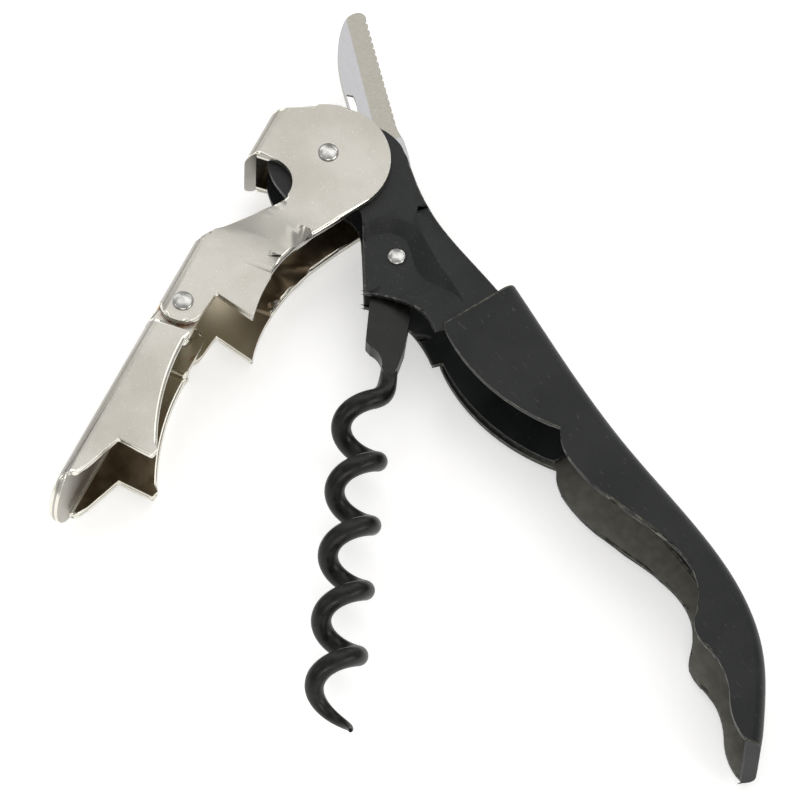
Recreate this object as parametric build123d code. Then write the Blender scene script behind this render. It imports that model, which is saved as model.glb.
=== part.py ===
from build123d import *
import math
import os

# Double-hinged lever corkscrew, in millimetres.
#
# Working frame: origin on the lever rivet's axis at mid thickness, +X along the
# handle towards its end, +Y towards the back of the handle, +Z along the rivets.
# place() turns each moving part to its open rest angle, and the finished tool is
# then shifted so that the row origin is the middle of its footprint.

# ---- Driving dimensions ----
LEVER_HEAD_WIDTH = 9.6       # outside width of the upper lever at its rivet
LEVER_WIDTH = 12.4           # outside width of both levers past the neck
LEVER_SHEET = 1.2
LEVER_BEND = 1.7             # outside radius where a lever's web turns into its walls
WEB_DEPTH = 10.05            # lever rivet's axis to the outside of the lever's web
LINK_PIVOT = (31.27, -6.93)  # link rivet's axis in the lever's own frame
LINK_LENGTH = 34.2           # link rivet to the rounded tip
HEAD_WIDTH = 6.9             # outside width of the frame at the lever rivet
FRAME_WIDTH = 10.0           # outside width of the frame inside the sleeve
PINCH_WIDTH = 4.5            # outside width of the frame at the worm rivet
FRAME_SHEET = 0.8
SLEEVE_WIDTH = 11.8
SLEEVE_WALL = 0.85
BACK_WALL = 1.0              # thickness of the sleeve's back
END_WALL = 1.3               # thickness of the sleeve's far end
SLEEVE_ROUND = 2.0           # outside radius along the sleeve's back
SLEEVE_MOUTH = 31.9
SLEEVE_END = 107.7
SLEEVE_BACK = 8.85           # back of the sleeve at its mouth
WORM_PIVOT = (17.88, -0.91)
KNIFE_PIVOT = (4.0, 6.1)
WIRE_DIAMETER = 2.75
WORM_DIAMETER = 8.1          # outside diameter of the coil
WORM_PITCH = 10.0
WORM_OFFSET = -2.57          # coil axis beside the worm rivet
COIL_START = 21.4            # worm rivet to the coil's first turn
COIL_TURNS = 5.02
TAPER_TURNS = 0.6            # the last part of the coil, ground to a point
POINT_STRETCH = 1.2          # how much further the point reaches than the coil's pitch takes it
POINT_TAPER = 0.8            # share of the wire's radius that is ground away at the point
SHANK_THICKNESS = 2.5
EYE_RADIUS = 2.85            # rounded end of the shank round its rivet
BLADE_THICKNESS = 1.1
BLADE_SPINE = 1.95           # knife rivet to the blade's back
BLADE_EDGE = -4.03           # knife rivet to the blade's cutting edge
TOOTH_COUNT = 17
NICK_DEPTH = 0.22
PIN_RADIUS = 1.1
RUNNING_CLEARANCE = 0.05
HEAD_PROUD = 0.5             # how far a rivet's head stands out of the wall
HEAD_DOME = 0.34             # how much of that is its dome

# ---- Rest angles, in degrees from +X ----
LEVER_ANGLE = -60.0
WORM_ANGLE = -39.7
KNIFE_ANGLE = 158.8

# ---- Worked out ----
HOLE_RADIUS = PIN_RADIUS + RUNNING_CLEARANCE
LEVER_HALF = LEVER_WIDTH / 2
LEVER_HEAD_HALF = LEVER_HEAD_WIDTH / 2
LEVER_INNER_HALF = LEVER_HALF - LEVER_SHEET
FRAME_HALF = FRAME_WIDTH / 2
HEAD_HALF = HEAD_WIDTH / 2
PINCH_HALF = PINCH_WIDTH / 2
SLEEVE_HALF = SLEEVE_WIDTH / 2
WIRE_RADIUS = WIRE_DIAMETER / 2
COIL_RADIUS = (WORM_DIAMETER - WIRE_DIAMETER) / 2
LOBE_RADIUS = WEB_DEPTH + LINK_PIVOT[1]
REACH = 40.0                 # longer than any wall is deep, for cutting tools


def prism(face, low, high):
    """The flat face pushed along Z, from low to high."""
    return extrude(Pos(0, 0, low) * face, high - low)


def disc(x, y, radius, low, high):
    """A round bar along Z."""
    return prism(Pos(x, y) * Circle(radius), low, high)


def closed_face(*lines):
    """A face inside lines that join end to end."""
    return make_face([edge for line in lines for edge in line.edges()])


def width_band(stations, inset, low, high):
    """A bar, deep in Y, that widens smoothly along X between the middle two of four stations."""
    near = [Vector(x, low, half - inset) for x, half in stations]
    far = [Vector(x, low, inset - half) for x, half in stations]
    straight = [(1, 0, 0), (1, 0, 0)]
    face = closed_face(
        Line(near[0], near[1]),
        Spline(near[1], near[2], tangents=straight),
        Polyline(near[2], near[3], far[3], far[2]),
        Spline(far[1], far[2], tangents=straight),
        Polyline(far[1], far[0], near[0]),
    )
    return extrude(face, high - low, dir=(0, 1, 0))


def channel(stations, sheet, bend, web, depth):
    """A pressed U channel along X whose web lies at y = web, open towards +Y."""
    outside = width_band(stations, 0, web, web + depth)
    bends = [edge for edge in outside.edges() if abs(edge.center().Y - web) < 0.01]
    bends = [edge for edge in bends if abs((edge @ 1 - edge @ 0).X) > bend]
    outside = fillet(bends, bend)
    inside = width_band(stations, sheet, web + sheet, web + depth + sheet)
    return outside - inside


def domed_rivet(x, y, half_length, head_radius):
    """A rivet along Z with a low domed head at each end."""
    shank = disc(x, y, PIN_RADIUS, -half_length, half_length)
    top = half_length + HEAD_PROUD
    ball_radius = (head_radius ** 2 + HEAD_DOME ** 2) / (2 * HEAD_DOME)
    head = disc(x, y, head_radius, half_length, top)
    head &= Pos(x, y, top - ball_radius) * Sphere(ball_radius)
    return shank + head + mirror(head, Plane.XY)


def place(shape, angle, pivot=(0, 0)):
    """Turn a part from its own frame to its rest angle about its pivot."""
    return Pos(*pivot) * Rot(0, 0, angle) * shape


# ---- Upper lever: a pressed channel with a disc head and a cap-opener mouth ----
LEVER_STATIONS = [(-12, LEVER_HEAD_HALF), (9, LEVER_HEAD_HALF), (22, LEVER_HALF), (40, LEVER_HALF)]
MOUTH_CENTRE = (8.1, -6.0)
MOUTH_RADIUS = 4.0
MOUTH_SLOPE = 57.0           # angle on the mouth's arc where the straight flank leaves it


def mouth_edges(radius, flank_y):
    """The mouth's arc and its straight flank, down to the line y = flank_y."""
    x, y = MOUTH_CENTRE
    arc = CenterArc((x, y), radius, 180, MOUTH_SLOPE - 180)
    run = ((arc @ 1).Y - flank_y) * math.tan(math.radians(MOUTH_SLOPE))
    flank = Line(arc @ 1, ((arc @ 1).X + run, flank_y))
    return arc, flank


def upper_lever():
    web = -WEB_DEPTH
    pivot_x, pivot_y = LINK_PIVOT
    head = CenterArc((0.9, 0.1), 8.9, 62, 154)
    arc, flank = mouth_edges(MOUTH_RADIUS, web)
    lobe = CenterArc(LINK_PIVOT, LOBE_RADIUS, -90, 172)
    apex = (27.9, -3.5)
    heel = (29.3, 2.6)
    back = ThreePointArc(heel, (21.0, 1.9), (12.5, 4.35))
    outline = closed_face(
        head,
        Polyline(head @ 1, (-3.1, web), (5.7, web), (4.4, -8.8), arc @ 0),
        arc,
        flank,
        Line(flank @ 1, lobe @ 0),
        lobe,
        Polyline(lobe @ 1, apex, heel),
        back,
        Line(back @ 1, head @ 0),
    )
    lever = channel(LEVER_STATIONS, LEVER_SHEET, LEVER_BEND, web, 24)
    lever &= prism(outline, -LEVER_HALF, LEVER_HALF)
    lever -= Pos(pivot_x + 8, web) * Box(21, 4, 2 * LEVER_INNER_HALF)
    lever -= disc(0, 0, HOLE_RADIUS, -REACH, REACH)
    lever -= disc(pivot_x, pivot_y, PIN_RADIUS, -REACH, REACH)
    return place(lever, LEVER_ANGLE)


# ---- Lower lever: a link whose ears turn inside the upper lever's lobes ----
EAR_GAP = 0.1
EAR_HALF = LEVER_INNER_HALF - EAR_GAP
EAR_RADIUS = 2.75
SHOULDER = 3.98              # link rivet to the step where the walls spread out
JOGGLE = 1.2
TONGUE_BACK = 2.1            # how far the web's tongue reaches behind the link rivet


def lower_lever():
    web = -LOBE_RADIUS
    wall_end = 30.7
    back = ThreePointArc((SHOULDER, 2.85), (13.0, 3.72), (22.4, 7.2))
    outline = closed_face(
        back,
        Polyline(back @ 1, (23.4, 6.9), (23.1, 1.7), (28.6, -0.15), (wall_end - 0.2, -0.9)),
        Polyline((wall_end - 0.2, -0.9), (wall_end, web + LEVER_SHEET), (LINK_LENGTH, web + LEVER_SHEET)),
        Polyline((LINK_LENGTH, web + LEVER_SHEET), (LINK_LENGTH, web), (SHOULDER, web), back @ 0),
    )
    run = LINK_LENGTH - SHOULDER
    stations = [(SHOULDER + run * part / 3, LEVER_HALF) for part in range(4)]
    link = channel(stations, LEVER_SHEET, LEVER_BEND, web, 16)
    link &= prism(outline, -LEVER_HALF, LEVER_HALF)
    tip = ThreePointArc((wall_end, web, LEVER_HALF), (LINK_LENGTH, web, 0), (wall_end, web, -LEVER_HALF))
    sides = Polyline((wall_end, web, -LEVER_HALF), (0, web, -LEVER_HALF), (0, web, LEVER_HALF),
                     (wall_end, web, LEVER_HALF))
    link &= extrude(closed_face(tip, sides), 16, dir=(0, 1, 0))
    ear = Circle(EAR_RADIUS) + Pos(SHOULDER / 2 + JOGGLE / 2) * Rectangle(SHOULDER + JOGGLE, 2 * EAR_RADIUS)
    step = closed_face(Polyline((SHOULDER, web), (SHOULDER, 2.85), (SHOULDER + JOGGLE, 2.85),
                                (SHOULDER + JOGGLE, web), close=True))
    side = prism(ear, EAR_HALF - LEVER_SHEET, EAR_HALF) + prism(step, EAR_HALF - LEVER_SHEET, EAR_HALF)
    link += side
    link += mirror(side, Plane.XY)
    tongue_length = TONGUE_BACK + SHOULDER + JOGGLE
    tongue = Box(tongue_length, LEVER_SHEET, 2 * EAR_HALF, align=(Align.MIN, Align.MIN, Align.CENTER))
    link += Pos(-TONGUE_BACK, web) * tongue
    link -= disc(0, 0, HOLE_RADIUS, -REACH, REACH)
    return place(Pos(*LINK_PIVOT) * link, LEVER_ANGLE)


# ---- Frame: two pressed cheeks, pinched round the worm, with a web in the sleeve ----
FRAME_STATIONS = [(-12, HEAD_HALF), (11, HEAD_HALF), (31, FRAME_HALF), (60, FRAME_HALF)]
PINCH_STATIONS = [(0, PINCH_HALF), (20, PINCH_HALF), (31.5, FRAME_HALF), (60, FRAME_HALF)]
FRAME_END = 53.5
WEB_END = 4.8                # outside of the frame's web where it ends in the sleeve
HEAD_RADIUS = 8.4
MOUTH_CLEARANCE = 1.0        # the frame's mouth is this much larger than the lever's
LIP_ANGLE = 208.7            # angle on the frame mouth's arc where the head's edge meets it
THROAT_START = -7.9          # where the mouth's flank turns into the throat
PANEL_TAPER = 52             # degrees that the pinched panel's edge slopes from upright


def sleeve_front():
    """The scalloped front edge of the sleeve, from its mouth to its far end."""
    palm = ThreePointArc((SLEEVE_MOUTH, -3.3), (42.0, -3.95), (54.1, 0.45))
    grips = Spline(
        (54.1, 0.45), (56.2, -0.85), (60.2, -1.45), (69.0, 0.05), (76.2, 2.0), (80.0, 2.35),
        (83.8, 1.4), (86.8, -0.9), (88.6, -2.65), (91.6, -3.25), (94.9, -3.15), (97.7, -3.95),
        (100.5, -5.6),
    )
    lip = ThreePointArc(grips @ 1, (103.6, -6.95), (SLEEVE_END - 1.2, -7.2))
    return palm, grips, lip, Line(lip @ 1, (SLEEVE_END, -5.8))


def sleeve_back():
    """The back of the sleeve, from its far end to its mouth."""
    return Spline(
        (SLEEVE_END, -5.8), (104.6, -2.9), (96.4, 3.0), (87.1, 6.15), (75.0, 6.95), (58.3, 6.65),
        (43.6, 7.65), (SLEEVE_MOUTH, SLEEVE_BACK),
        tangents=[(-0.65, 0.76), (-1, 0.1)],
    )


def pinch_panel():
    """What the press pushes in; its sloping edge runs round the worm rivet and along to the sleeve."""
    arc = ThreePointArc((11.9, -2.9), (13.2, 1.6), (17.2, 3.1))
    rest = Polyline(arc @ 1, (23.3, 0.9), (33.0, -1.2), (33.0, -16.0), (7.0, -16.0), (7.0, -5.1), arc @ 0)
    edge = closed_face(arc, rest)
    depth = HEAD_HALF - PINCH_HALF + FRAME_SHEET
    inward = extrude(edge, depth, taper=PANEL_TAPER)
    inward = Pos(0, 0, HEAD_HALF - inward.bounding_box().max.Z) * inward
    outward = extrude(edge, FRAME_HALF - HEAD_HALF + 2 * FRAME_SHEET, taper=-PANEL_TAPER)
    return Pos(0, 0, HEAD_HALF) * outward + inward


def frame():
    mouth_radius = MOUTH_RADIUS + MOUTH_CLEARANCE
    flank = mouth_edges(mouth_radius, THROAT_START)[1]
    mouth = CenterArc(MOUTH_CENTRE, mouth_radius, LIP_ANGLE, MOUTH_SLOPE - LIP_ANGLE)
    head = CenterArc((0, 0), HEAD_RADIUS, 105, 165)
    back = Spline((SLEEVE_MOUTH, 6.35), (21.0, 6.2), (12.9, 7.1), (7.8, 8.55), (3.0, 9.55), head @ 0,
                  tangents=[(-1, -0.02), (-0.97, -0.26)])
    throat = ThreePointArc(flank @ 1, (24.6, -4.75), (30.3, -4.15))
    palm = ThreePointArc((SLEEVE_MOUTH + 0.3, -3.0), (41.5, -3.55), (FRAME_END, 0.5))
    outline = closed_face(
        head,
        Line(head @ 1, mouth @ 0),
        mouth,
        flank,
        throat,
        Polyline(throat @ 1, (SLEEVE_MOUTH - 0.2, -4.4), palm @ 0),
        palm,
        Polyline(palm @ 1, (FRAME_END, WEB_END), (SLEEVE_MOUTH, 6.35)),
        back,
    )
    panel = pinch_panel()
    backing = Pos(0, 0, -FRAME_SHEET) * panel
    panel += mirror(panel, Plane.XY)
    backing += mirror(backing, Plane.XY)
    cheeks = width_band(FRAME_STATIONS, 0, -REACH, REACH)
    cheeks -= panel - width_band(PINCH_STATIONS, 0, -REACH, REACH)
    gap = width_band(FRAME_STATIONS, FRAME_SHEET, -REACH, REACH)
    gap -= backing - width_band(PINCH_STATIONS, FRAME_SHEET, -REACH, REACH)
    cheeks = (cheeks - gap) & prism(outline, -FRAME_HALF, FRAME_HALF)
    web_start = (SLEEVE_MOUTH + 0.3, 6.32)
    web = closed_face(Polyline(web_start, (FRAME_END, WEB_END), (FRAME_END, WEB_END - FRAME_SHEET),
                               (web_start[0], web_start[1] - FRAME_SHEET), close=True))
    cheeks += prism(web, -FRAME_HALF, FRAME_HALF)
    cheeks -= disc(0, 0, HOLE_RADIUS, -REACH, REACH)
    cheeks -= disc(*WORM_PIVOT, HOLE_RADIUS, -REACH, REACH)
    cheeks -= disc(*KNIFE_PIVOT, PIN_RADIUS, -REACH, REACH)
    return cheeks


def handle_sleeve():
    front = sleeve_front()
    mouth = Line((SLEEVE_MOUTH, SLEEVE_BACK), (SLEEVE_MOUTH, -3.3))
    outline = closed_face(*front, sleeve_back(), mouth)
    outside = prism(outline, -SLEEVE_HALF, SLEEVE_HALF)
    bends = [edge for edge in outside.edges().filter_by(GeomType.BSPLINE)
             if edge.bounding_box().max.Y > SLEEVE_BACK - 0.5]
    outside = fillet(bends, SLEEVE_ROUND)
    inner_half = SLEEVE_HALF - SLEEVE_WALL
    inside = prism(Pos(-END_WALL, -BACK_WALL) * outline, -inner_half, inner_half)
    return outside - inside


# ---- Worm: a wire coil whose shank is pressed flat round the worm rivet ----
def coil_point(turns):
    """A point on the coil's centre line, after this many turns."""
    angle = 2 * math.pi * turns
    return Vector(
        COIL_START + WORM_PITCH * turns,
        WORM_OFFSET + COIL_RADIUS * math.cos(angle),
        COIL_RADIUS * math.sin(angle),
    )


def coil_direction(turns):
    """The coil's direction there."""
    angle = 2 * math.pi * turns
    return Vector(
        WORM_PITCH / (2 * math.pi),
        -COIL_RADIUS * math.sin(angle),
        COIL_RADIUS * math.cos(angle),
    )


def wire_section(point, direction, radius):
    return Plane(origin=point, z_dir=direction) * Circle(radius)


def worm():
    lead_turns = 0.16
    full_turns = COIL_TURNS - TAPER_TURNS
    helix = Helix(WORM_PITCH, WORM_PITCH * (full_turns - lead_turns), COIL_RADIUS)
    helix = Rot(0, 90, 0) * Rot(0, 0, 90 + 360 * lead_turns) * helix
    helix = Pos(COIL_START + WORM_PITCH * lead_turns, WORM_OFFSET) * helix
    coil = sweep(wire_section(helix @ 0, helix % 0, WIRE_RADIUS), path=helix, is_frenet=True)
    lead = Spline((14.6, 0.45, 0), (18.2, 0.42, 0.02), helix @ 0, tangents=[(1, 0, 0), helix % 0])
    neck = [(0, 0.72), (0.25, 0.84), (0.5, 0.94), (0.75, 1), (1, 1)]
    lead_wire = loft([wire_section(lead @ t, lead % t, WIRE_RADIUS * share) for t, share in neck])
    steps = 8
    grind = []
    for step in range(steps + 1):
        share = step / steps
        turns = full_turns + TAPER_TURNS * share
        centre = coil_point(turns) + Vector(POINT_STRETCH * share ** 2, 0, 0)
        radius = WIRE_RADIUS * (1 - POINT_TAPER * share ** 1.3)
        grind.append(wire_section(centre, coil_direction(turns), radius))
    point = loft(grind)
    eye = CenterArc((0, 0), EYE_RADIUS, 78, 195)
    plate_outline = closed_face(
        eye,
        Polyline(eye @ 1, (3.0, -3.1), (13.3, -3.1), (14.1, -2.4)),
        ThreePointArc((14.1, -2.4), (15.2, -1.1), (17.3, -0.55)),
        Polyline((17.3, -0.55), (18.8, 0.0), (18.8, 0.9), (16.8, 1.6), (14.0, 2.25), (5.0, 2.8), eye @ 0),
    )
    half = SHANK_THICKNESS / 2
    plate = prism(plate_outline, -half, half)
    plate -= disc(0, 0, HOLE_RADIUS, -REACH, REACH)
    return place(coil + lead_wire + point + plate, WORM_ANGLE, WORM_PIVOT)


# ---- Foil knife ----
def knife_blade():
    tip = (26.4, -3.1)
    edge_end = 25.1
    back = Spline((13.0, BLADE_SPINE), (20.5, 1.2), (24.6, -0.5), tip, tangents=[(1, 0), (0.1, -1)])
    outline = closed_face(
        Line((-0.4, BLADE_SPINE), (13.0, BLADE_SPINE)),
        back,
        ThreePointArc(tip, (26.1, -3.75), (edge_end, BLADE_EDGE)),
        Line((edge_end, BLADE_EDGE), (6.2, BLADE_EDGE + 0.15)),
        ThreePointArc((6.2, BLADE_EDGE + 0.15), (2.6, BLADE_EDGE - 0.3), (-1.2, BLADE_EDGE)),
        ThreePointArc((-1.2, BLADE_EDGE), (-2.7, -1.2), (-0.4, BLADE_SPINE)),
    )
    half = BLADE_THICKNESS / 2
    blade = prism(outline, -half, half)
    bevel_top = -0.7
    edge_half = 0.12
    wedge = make_face(Polyline((4.5, bevel_top, half), (4.5, BLADE_EDGE, edge_half),
                               (4.5, BLADE_EDGE - 1, half), close=True))
    bevel = extrude(wedge, 30, dir=(1, -0.025, 0))
    blade -= bevel
    blade -= mirror(bevel, Plane.XY)
    first_tooth = 6.75
    pitch = (edge_end + 0.3 - first_tooth) / TOOTH_COUNT
    root = (pitch * 0.18, BLADE_EDGE + 0.62)
    below = BLADE_EDGE - 0.12
    back_of_tooth = ThreePointArc(root, (pitch * 0.42, BLADE_EDGE + 0.14), (pitch * 0.95, below))
    gullet = closed_face(back_of_tooth, Polyline(back_of_tooth @ 1, (0, below), root))
    for tooth in range(TOOTH_COUNT):
        blade -= prism(Pos(first_tooth + tooth * pitch) * gullet, -half, half)
    nick_end = ThreePointArc((12.7, 0.85), (10.4, 0.8), (8.0, 1.72))
    nick = closed_face(nick_end, Polyline(nick_end @ 1, (13.1, 1.72), nick_end @ 0))
    nick_cut = extrude(Pos(0, 0, half) * nick, -NICK_DEPTH)
    blade -= nick_cut
    blade -= mirror(nick_cut, Plane.XY)
    blade -= disc(0, 0, HOLE_RADIUS, -REACH, REACH)
    return place(blade, KNIFE_ANGLE, KNIFE_PIVOT)


# ---- Rivets and spacers ----
def lever_rivet():
    return domed_rivet(0, 0, LEVER_HEAD_HALF + RUNNING_CLEARANCE, 1.4)


def worm_rivet():
    return domed_rivet(*WORM_PIVOT, PINCH_HALF + RUNNING_CLEARANCE, 1.3)


def link_rivet():
    rivet = domed_rivet(*LINK_PIVOT, LEVER_HALF, 1.45)
    return place(rivet, LEVER_ANGLE)


def knife_rivet():
    return disc(*KNIFE_PIVOT, PIN_RADIUS, -HEAD_HALF, HEAD_HALF)


def tube(x, y, outer, inner, low, high):
    return disc(x, y, outer, low, high) - disc(x, y, inner, low, high)


def lever_spacer():
    half = HEAD_HALF - FRAME_SHEET
    return tube(0, 0, 2.3, HOLE_RADIUS, -half, half)


def knife_spacers():
    low = BLADE_THICKNESS / 2 + RUNNING_CLEARANCE
    spacer = tube(*KNIFE_PIVOT, 2.1, PIN_RADIUS, low, HEAD_HALF - FRAME_SHEET)
    return Compound([spacer, mirror(spacer, Plane.XY)])


NODES = {
    "frame": frame,
    "handle_sleeve": handle_sleeve,
    "upper_lever": upper_lever,
    "lower_lever": lower_lever,
    "lever_rivet": lever_rivet,
    "link_rivet": link_rivet,
    "worm_rivet": worm_rivet,
    "knife_rivet": knife_rivet,
    "worm": worm,
    "knife_blade": knife_blade,
    "lever_spacer": lever_spacer,
    "knife_spacers": knife_spacers,
}

solids = {name: build() for name, build in NODES.items()}
extent = Compound(list(solids.values())).bounding_box()
SHIFT = Vector(-extent.center().X, -extent.center().Y, -extent.min.Z)

os.makedirs("parts", exist_ok=True)
for name, solid in solids.items():
    export_step(Pos(SHIFT) * solid, f"parts/{name}.step")
print("row origin is", -SHIFT, "in the working frame")
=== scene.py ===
import math

import bpy
from mathutils import Matrix, Vector


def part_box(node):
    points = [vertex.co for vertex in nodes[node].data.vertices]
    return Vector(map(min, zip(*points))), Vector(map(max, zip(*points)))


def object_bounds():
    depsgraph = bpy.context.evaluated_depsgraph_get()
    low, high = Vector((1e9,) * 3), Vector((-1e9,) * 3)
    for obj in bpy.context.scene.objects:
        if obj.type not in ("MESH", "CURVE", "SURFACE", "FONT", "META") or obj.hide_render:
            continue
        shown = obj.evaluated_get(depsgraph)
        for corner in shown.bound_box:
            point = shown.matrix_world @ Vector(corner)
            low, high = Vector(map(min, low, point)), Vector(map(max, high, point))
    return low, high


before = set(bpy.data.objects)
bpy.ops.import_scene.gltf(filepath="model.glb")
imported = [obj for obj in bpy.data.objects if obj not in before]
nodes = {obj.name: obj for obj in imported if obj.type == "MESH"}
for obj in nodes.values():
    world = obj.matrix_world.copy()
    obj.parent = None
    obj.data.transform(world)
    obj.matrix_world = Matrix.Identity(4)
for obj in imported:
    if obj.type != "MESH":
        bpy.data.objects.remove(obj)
cad_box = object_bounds()
MM = 0.001


def centre_of(name):
    low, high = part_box(name)
    return (low + high) / 2


# The lever rivet's middle is the datum that every other place is measured from.
DATUM = centre_of("lever_rivet")
LINK = centre_of("link_rivet")

# ---- Camera and light ----
AIM = DATUM + Vector((35.85, -12.84, 0.0)) * MM  # along the handle, and in front of its back
DISTANCE = 0.8635
AZIMUTH = math.radians(52.36)
ELEVATION = math.radians(58.55)
ROLL = math.radians(3.2)
LENS = 287.6
NEAR_CLIP = 0.01
FLOOR_HALF = 1.5
FLOOR_GAP = 0.0002    # how far the floor lies below the lowest point
FLOOR_COLOUR = (0.93, 0.93, 0.93, 1)
WHITE = (1, 1, 1, 1)
AMBIENT = 0.42        # strength of the world, and of the floor's own glow


def direction(azimuth, elevation):
    across = math.cos(elevation)
    return Vector((math.sin(azimuth) * across, -math.cos(azimuth) * across, math.sin(elevation)))


def new_object(name, data):
    made = bpy.data.objects.new(name, data)
    bpy.context.scene.collection.objects.link(made)
    return made


def place_camera():
    out = direction(AZIMUTH, ELEVATION)
    data = bpy.data.cameras.new("camera")
    data.lens = LENS
    data.clip_start = NEAR_CLIP
    made = new_object("camera", data)
    made.location = AIM + out * DISTANCE
    facing = (-out).to_track_quat("-Z", "Y").to_matrix()
    made.rotation_euler = (facing @ Matrix.Rotation(ROLL, 3, "Z")).to_euler()
    bpy.context.scene.camera = made


def softbox(name, azimuth, elevation, distance, size, radiance, colour=(1, 1, 1)):
    """A rectangular light that faces AIM; azimuth is counted from the camera's, in degrees."""
    data = bpy.data.lights.new(name, "AREA")
    data.shape = "RECTANGLE"
    data.size, data.size_y = size
    data.energy = radiance * math.pi * size[0] * size[1]
    data.color = colour
    made = new_object(name, data)
    out = direction(AZIMUTH + math.radians(azimuth), math.radians(elevation))
    made.location = AIM + out * distance
    made.rotation_euler = (-out).to_track_quat("-Z", "Y").to_euler()


def floor():
    data = bpy.data.meshes.new("floor")
    signs = ((-1, -1), (1, -1), (1, 1), (-1, 1))
    corners = [(x * FLOOR_HALF, y * FLOOR_HALF, 0) for x, y in signs]
    data.from_pydata(corners, [], [(0, 1, 2, 3)])
    made = new_object("floor", data)
    made.location.z = cad_box[0][2] - FLOOR_GAP
    paint = bpy.data.materials.new("floor_paint")
    paint.use_nodes = True
    shader = paint.node_tree.nodes["Principled BSDF"]
    shader.inputs["Base Color"].default_value = FLOOR_COLOUR
    shader.inputs["Roughness"].default_value = 0.9
    shader.inputs["Specular IOR Level"].default_value = 0.1
    shader.inputs["Emission Color"].default_value = WHITE
    shader.inputs["Emission Strength"].default_value = AMBIENT
    data.materials.append(paint)


def studio():
    world = bpy.data.worlds.new("studio")
    world.use_nodes = True
    back = world.node_tree.nodes["Background"]
    back.inputs["Color"].default_value = WHITE
    back.inputs["Strength"].default_value = AMBIENT
    bpy.context.scene.world = world
    softbox("overhead", 168, 62, 1.0, (1.15, 0.8), 1.08, (1, 0.99, 0.97))
    softbox("front_strip", 5, 28, 0.9, (0.5, 0.26), 4.0, (1, 0.98, 0.92))
    softbox("right_strip", 66, 22, 0.9, (0.5, 0.24), 4.5, (1, 0.98, 0.92))
    softbox("back_strip", 152, 20, 1.1, (0.5, 0.2), 2.2)
    softbox("left_back", -146, 28, 1.1, (0.6, 0.36), 1.25, (1, 0.99, 0.97))
    softbox("side", -80, 36, 1.0, (0.4, 0.3), 1.6)


# ---- Materials; lengths in mm ----
INNER_FACE = (-1.6, -0.6)      # height above mid thickness times the normal's Z, on an inner face
LINK_LIT_PATCH = (6.0, 13.0)        # reach of the painted light on the inner faces round the link rivet, where the painted shade turns lighter
WEAR_RING = (2.9, 3.05, 3.3, 3.75)  # radii where the worn ring round the link rivet fades in and out
GLINT_CELL = 0.28              # size of one fleck of sparkle in the nickel
SLEEVE_LIT_INSIDE = (46.0, 60.0)   # where painted light turns the sleeve's inner walls greyer, along the handle
BLADE_TURN = math.radians(-158.8)  # the blade's direction at rest
BEVEL_TILT = (0.9915, 0.9965)  # the normal's Z where the ground edge meets the flat
NICK_HEIGHT = (0.4, 0.5)       # half thickness at the nail nick, and at the flat


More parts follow.
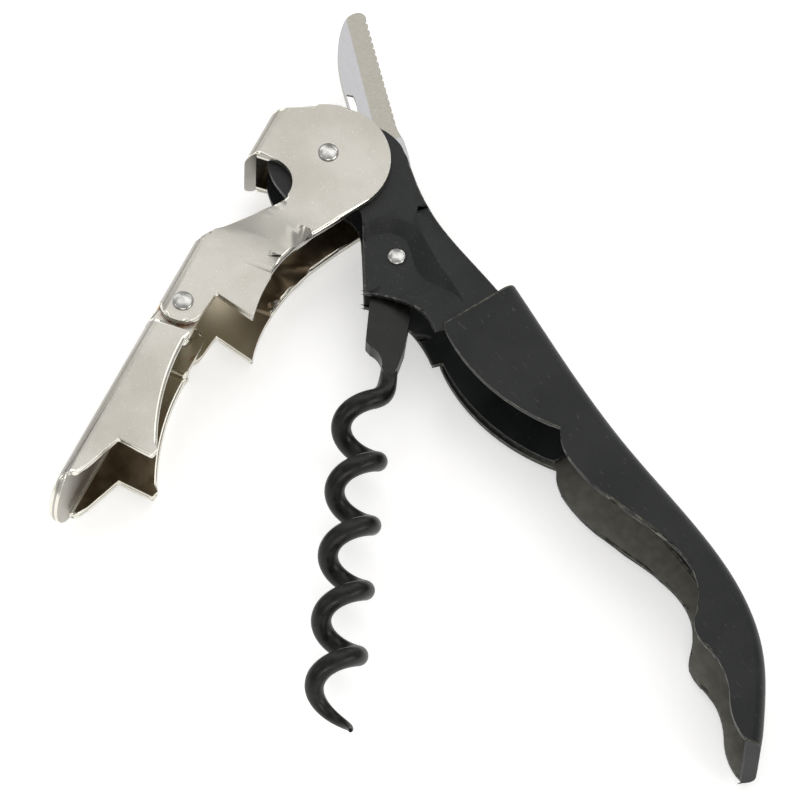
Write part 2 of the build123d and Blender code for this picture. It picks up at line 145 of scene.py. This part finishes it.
class Paint:
    """A node material on one Principled shader, with short names for the nodes it is built from.

    The plain colour and roughness are what is left where the nodes can't be read.
    """

    def __init__(self, name, colour, roughness, metallic=0.0):
        self.material = bpy.data.materials.new(name)
        self.material.use_nodes = True
        self.tree = self.material.node_tree
        self.shader = self.tree.nodes["Principled BSDF"]
        self.shader.inputs["Base Color"].default_value = (*colour, 1)
        self.shader.inputs["Roughness"].default_value = roughness
        self.shader.inputs["Metallic"].default_value = metallic
        self.coords = self.node("ShaderNodeTexCoord")
        split = self.node("ShaderNodeSeparateXYZ")
        self.link(self.coords.outputs["Object"], split.inputs[0])
        self.place = split.outputs
        normal = self.node("ShaderNodeSeparateXYZ")
        self.link(self.coords.outputs["Normal"], normal.inputs[0])
        self.normal = normal.outputs

    def node(self, kind, **settings):
        made = self.tree.nodes.new(kind)
        for key, value in settings.items():
            setattr(made, key, value)
        return made

    def link(self, out, into):
        self.tree.links.new(out, into)

    def math(self, kind, *values, clamp=False):
        made = self.node("ShaderNodeMath", operation=kind, use_clamp=clamp)
        for socket, value in zip(made.inputs, values):
            if isinstance(value, (int, float)):
                socket.default_value = value
            else:
                self.link(value, socket)
        return made.outputs[0]

    def ramp(self, value, low, high, start=0.0, end=1.0):
        """value from low..high becomes start..end, smoothly, and stays there outside."""
        made = self.node("ShaderNodeMapRange", interpolation_type="SMOOTHSTEP")
        self.link(value, made.inputs["Value"])
        for name, number in zip(("From Min", "From Max", "To Min", "To Max"), (low, high, start, end)):
            made.inputs[name].default_value = number
        return made.outputs[0]

    def mix(self, share, a, b):
        made = self.node("ShaderNodeMix", data_type="RGBA")
        self.link(share, made.inputs[0])
        for socket, value in ((made.inputs[6], a), (made.inputs[7], b)):
            if isinstance(value, tuple):
                socket.default_value = (*value, 1)
            else:
                self.link(value, socket)
        return made.outputs[2]

    def scaled(self, stretch=(1, 1, 1), turn=0.0):
        made = self.node("ShaderNodeMapping")
        self.link(self.coords.outputs["Object"], made.inputs["Vector"])
        made.inputs["Rotation"].default_value = (0, 0, turn)
        made.inputs["Scale"].default_value = stretch
        return made.outputs[0]

    def noise(self, size_mm, detail=2.0, vector=None, rough=0.5):
        made = self.node("ShaderNodeTexNoise")
        made.inputs["Scale"].default_value = 1 / (size_mm * MM)
        made.inputs["Detail"].default_value = detail
        made.inputs["Roughness"].default_value = rough
        self.link(vector or self.coords.outputs["Object"], made.inputs["Vector"])
        return made.outputs["Fac"]

    def cells(self, size_mm):
        made = self.node("ShaderNodeTexVoronoi")
        made.inputs["Scale"].default_value = 1 / (size_mm * MM)
        self.link(self.coords.outputs["Object"], made.inputs["Vector"])
        return made.outputs

    def past_datum(self, axis):
        """Distance in mm past the lever rivet's middle, along one axis."""
        return self.math("DIVIDE", self.math("SUBTRACT", self.place[axis], DATUM[axis]), MM)

    def radius_from(self, centre):
        """Distance in mm from an upright axis through centre."""
        dx = self.math("SUBTRACT", self.place[0], centre.x)
        dy = self.math("SUBTRACT", self.place[1], centre.y)
        square = self.math("ADD", self.math("MULTIPLY", dx, dx), self.math("MULTIPLY", dy, dy))
        return self.math("DIVIDE", self.math("SQRT", square), MM)

    def inside(self):
        """1 on the inner faces of a channel's walls, 0 on its outer faces."""
        facing = self.math("MULTIPLY", self.past_datum(2), self.normal[2])
        return self.ramp(facing, *INNER_FACE, 1.0, 0.0)

    def bump(self, height, strength, depth_mm):
        made = self.node("ShaderNodeBump")
        made.inputs["Strength"].default_value = strength
        made.inputs["Distance"].default_value = depth_mm * MM
        self.link(height, made.inputs["Height"])
        self.link(made.outputs[0], self.shader.inputs["Normal"])

    def colour(self, value):
        self.link(value, self.shader.inputs["Base Color"])

    def rough(self, value):
        self.link(value, self.shader.inputs["Roughness"])


def nickel(name, polished_highlit=False, link=False):
    """Satin nickel plate with a fine sparkle; painted shade in brown inside a channel, fading to
    painted light round the link rivet; with polished_highlit, smoother polish and a painted highlight
    in a brighter colour.
    """
    p = Paint(name, (0.58, 0.565, 0.525), 0.32, 1.0)
    cloud = p.noise(9.0, 4.0)
    grain = p.noise(0.16, 2.0)
    if polished_highlit:
        # painted highlight: the rounded edges are painted much brighter than the faces; the lower
        # roughness is their polish
        p.colour(p.mix(p.ramp(cloud, 0.4, 0.6), (0.88, 0.86, 0.78), (0.78, 0.75, 0.66)))
        p.rough(p.ramp(grain, 0.3, 0.7, 0.14, 0.26))
        p.bump(p.noise(0.5), 0.2, 0.015)
        return p.material
    colour = p.mix(p.ramp(cloud, 0.36, 0.66), (0.49, 0.475, 0.435), (0.45, 0.432, 0.39))
    cell = p.cells(GLINT_CELL)
    glint = p.ramp(cell["Distance"], 0.0, 0.45, 1.0, 0.0)
    spark = p.ramp(p.math("MULTIPLY", cell["Color"], glint), 0.45, 0.7)
    colour = p.mix(spark, colour, (0.85, 0.83, 0.76))
    # painted shade: the inner faces of a channel are painted dark brown, and painted light turns them
    # lighter round the link rivet
    inner = p.inside()
    reach = p.radius_from(LINK)
    brown = p.mix(p.ramp(p.noise(3.0, 3.0), 0.3, 0.7), (0.13, 0.095, 0.058), (0.25, 0.2, 0.135))
    brown = p.mix(p.ramp(reach, *LINK_LIT_PATCH, 0.8, 0.0), brown, (0.66, 0.6, 0.46))
    colour = p.mix(inner, colour, brown)
    if link:
        fade_in = p.ramp(reach, *WEAR_RING[:2])
        fade_out = p.ramp(reach, *WEAR_RING[2:], 1.0, 0.0)
        ring = p.math("MULTIPLY", fade_in, fade_out)
        worn = p.math("MULTIPLY", ring, p.ramp(p.noise(0.8, 4.0), 0.46, 0.6, 0.0, 0.8))
        colour = p.mix(worn, colour, (0.36, 0.19, 0.105))
    p.colour(colour)
    rough = p.ramp(grain, 0.3, 0.7, 0.3, 0.42)
    p.rough(p.math("ADD", rough, p.ramp(cloud, 0.3, 0.7, -0.03, 0.04)))
    p.bump(p.math("ADD", grain, p.math("MULTIPLY", p.noise(4.0, 2.0), 1.2)), 0.12, 0.025)
    return p.material


def enamel(name, worn=False):
    """Black stove enamel with a slight orange peel and flecks of dust; greyer in worn patches if worn.
    """
    p = Paint(name, (0.02, 0.021, 0.022), 0.42)
    p.shader.inputs["Specular IOR Level"].default_value = 0.26
    cloud = p.noise(7.0, 4.0)
    peel = p.noise(0.3, 2.0)
    if worn:
        rubbed_and_highlit = p.ramp(p.noise(0.8, 4.0), 0.5, 0.68)
        p.colour(p.mix(rubbed_and_highlit, (0.045, 0.046, 0.043), (0.16, 0.155, 0.14)))
        p.rough(p.ramp(peel, 0.3, 0.7, 0.26, 0.4))
    else:
        dust = p.ramp(p.noise(0.35, 4.0), 0.62, 0.72)
        coat = p.mix(p.ramp(cloud, 0.35, 0.65), (0.0125, 0.014, 0.0145), (0.02, 0.0215, 0.022))
        p.colour(p.mix(dust, coat, (0.05, 0.05, 0.046)))
        p.rough(p.ramp(p.math("ADD", peel, cloud), 0.7, 1.3, 0.36, 0.52))
    p.bump(peel, 0.22, 0.02)
    return p.material


def sleeve(name, lip=False):
    """Satin black moulding; painted light makes it greyer and mottled inside towards its end; a
    painted highlight in olive grey, in patches, on its lips.
    """
    p = Paint(name, (0.02, 0.021, 0.0205), 0.42)
    p.shader.inputs["Specular IOR Level"].default_value = 0.22
    cloud = p.noise(8.0, 4.0)
    mat = p.noise(0.22, 3.0)
    if lip:
        # painted highlight: patches of lighter olive grey on the rounded lips
        rubbed_and_highlit = p.ramp(p.noise(1.0, 4.0), 0.42, 0.7)
        p.colour(p.mix(rubbed_and_highlit, (0.04, 0.0405, 0.034), (0.14, 0.135, 0.105)))
        p.rough(p.ramp(mat, 0.3, 0.7, 0.3, 0.45))
    else:
        outer = p.mix(p.ramp(cloud, 0.35, 0.65), (0.012, 0.0135, 0.0135), (0.0185, 0.02, 0.02))
        scuff = p.ramp(p.noise(0.4, 5.0, p.scaled((0.25, 1, 1))), 0.64, 0.74)
        outer = p.mix(scuff, outer, (0.048, 0.048, 0.045))
        # painted light: the inner walls are painted grey and mottled towards the end
        lit_inside = p.mix(p.ramp(p.noise(1.6, 5.0), 0.3, 0.7), (0.165, 0.16, 0.14), (0.215, 0.21, 0.185))
        near = p.ramp(p.past_datum(0), *SLEEVE_LIT_INSIDE)
        inner = p.inside()
        p.colour(p.mix(p.math("MULTIPLY", inner, near), outer, lit_inside))
        p.rough(p.math("ADD", p.ramp(mat, 0.3, 0.7, 0.36, 0.48), p.math("MULTIPLY", inner, 0.14)))
    p.bump(mat, 0.24, 0.025)
    return p.material


def coating(name):
    """Lumpy black non-stick coating with a soft gloss."""
    p = Paint(name, (0.008, 0.008, 0.0075), 0.36)
    p.shader.inputs["Specular IOR Level"].default_value = 0.3
    lumps = p.noise(1.4, 3.0)
    fine = p.noise(0.18, 2.0)
    p.colour(p.mix(p.ramp(lumps, 0.4, 0.66), (0.006, 0.006, 0.0055), (0.014, 0.0138, 0.012)))
    p.rough(p.ramp(p.math("ADD", fine, lumps), 0.7, 1.3, 0.28, 0.45))
    p.bump(p.math("ADD", fine, p.math("MULTIPLY", lumps, 3.0)), 0.25, 0.03)
    return p.material


def blade(name):
    """Steel brushed along its flats and ground across its bevel, with a painted glint in the nail
    nick.
    """
    p = Paint(name, (0.6, 0.6, 0.62), 0.28, 1.0)
    brush = p.noise(0.09, 3.0, p.scaled((0.12, 1, 1), BLADE_TURN))
    grind = p.noise(0.09, 3.0, p.scaled((1, 0.08, 1), BLADE_TURN))
    tilt = p.ramp(p.math("ABSOLUTE", p.normal[2]), *BEVEL_TILT, 1.0, 0.0)
    flat = p.mix(brush, (0.36, 0.36, 0.375), (0.47, 0.47, 0.485))
    ground = p.mix(grind, (0.3, 0.285, 0.25), (0.56, 0.54, 0.485))
    height = p.math("ABSOLUTE", p.past_datum(2))
    # painted glint: the nail nick's floor is painted near white and a little smoother
    nick_glint = p.math("MULTIPLY", p.ramp(height, *NICK_HEIGHT, 1.0, 0.0), p.ramp(tilt, 0.0, 0.2, 1.0, 0.0))
    p.colour(p.mix(nick_glint, p.mix(tilt, flat, ground), (0.8, 0.8, 0.8)))
    matt = p.ramp(p.math("ADD", tilt, grind), 0.2, 1.6, 0.28, 0.44)
    p.rough(p.math("SUBTRACT", matt, p.math("MULTIPLY", nick_glint, 0.1)))
    p.bump(p.math("ADD", p.math("MULTIPLY", grind, tilt), p.math("MULTIPLY", brush, 0.4)), 0.3, 0.015)
    return p.material


def rivet(name):
    """Bright steel with fine pitting."""
    p = Paint(name, (0.6, 0.6, 0.59), 0.24, 1.0)
    cloud = p.noise(0.9, 4.0)
    fine = p.noise(0.12, 2.0)
    p.colour(p.mix(p.ramp(cloud, 0.4, 0.65), (0.66, 0.655, 0.64), (0.45, 0.44, 0.42)))
    p.rough(p.ramp(fine, 0.3, 0.7, 0.2, 0.34))
    p.bump(p.math("ADD", fine, p.math("MULTIPLY", cloud, 2.0)), 0.3, 0.02)
    return p.material


def nylon(name):
    """Plain black nylon with a slight grain."""
    p = Paint(name, (0.03, 0.03, 0.03), 0.5)
    p.colour(p.mix(p.noise(0.8, 3.0), (0.028, 0.028, 0.028), (0.05, 0.05, 0.048)))
    p.rough(p.ramp(p.noise(0.2), 0.3, 0.7, 0.45, 0.6))
    p.bump(p.noise(0.2), 0.15, 0.02)
    return p.material


# ---- Finishing the CAD nodes ----
WELD_GAP = 0.002 * MM             # points closer than this are one point
FLAT_ANGLE = math.radians(0.4)    # faces nearer to flat than this become one face
SHARP_ANGLE = math.radians(50.0)  # edges sharper than this are rounded
ROUND_STEPS = 3


def finish(name, materials, round_mm=0.0):
    """Give a CAD node its materials; with round_mm, its sharp edges are rounded in the last one."""
    shape = nodes[name]
    shape.data.materials.clear()
    for material in materials:
        shape.data.materials.append(material)
    weld = shape.modifiers.new("weld", "WELD")
    weld.merge_threshold = WELD_GAP
    if not round_mm:
        return
    flat = shape.modifiers.new("flat", "DECIMATE")
    flat.decimate_type = "DISSOLVE"
    flat.angle_limit = FLAT_ANGLE
    edge = shape.modifiers.new("edge", "BEVEL")
    edge.offset_type = "ABSOLUTE"
    edge.width = round_mm * MM
    edge.segments = ROUND_STEPS
    edge.limit_method = "ANGLE"
    edge.angle_limit = SHARP_ANGLE
    edge.material = len(materials) - 1
    edge.harden_normals = True
    edge.use_clamp_overlap = False


place_camera()
floor()
studio()
bpy.context.scene.view_settings.view_transform = "Standard"

# polished rounded lever edges, with a painted highlight in their colour
plate_edge_highlight = nickel("nickel_edge_highlight", polished_highlit=True)
finish("upper_lever", [nickel("nickel_upper"), plate_edge_highlight], 0.45)
finish("lower_lever", [nickel("nickel_lower", link=True), plate_edge_highlight], 0.45)
finish("frame", [enamel("enamel"), enamel("enamel_edge", worn=True)], 0.22)
finish("handle_sleeve", [sleeve("sleeve_face"), sleeve("sleeve_lip_highlight", lip=True)], 0.28)
finish("worm", [coating("worm_coating")])
finish("knife_blade", [blade("blade_steel")])
rivet_metal = rivet("rivet_steel")
for rivet_name in ("lever_rivet", "link_rivet", "worm_rivet", "knife_rivet", "lever_spacer"):
    finish(rivet_name, [rivet_metal])
finish("knife_spacers", [nylon("spacer_nylon")])
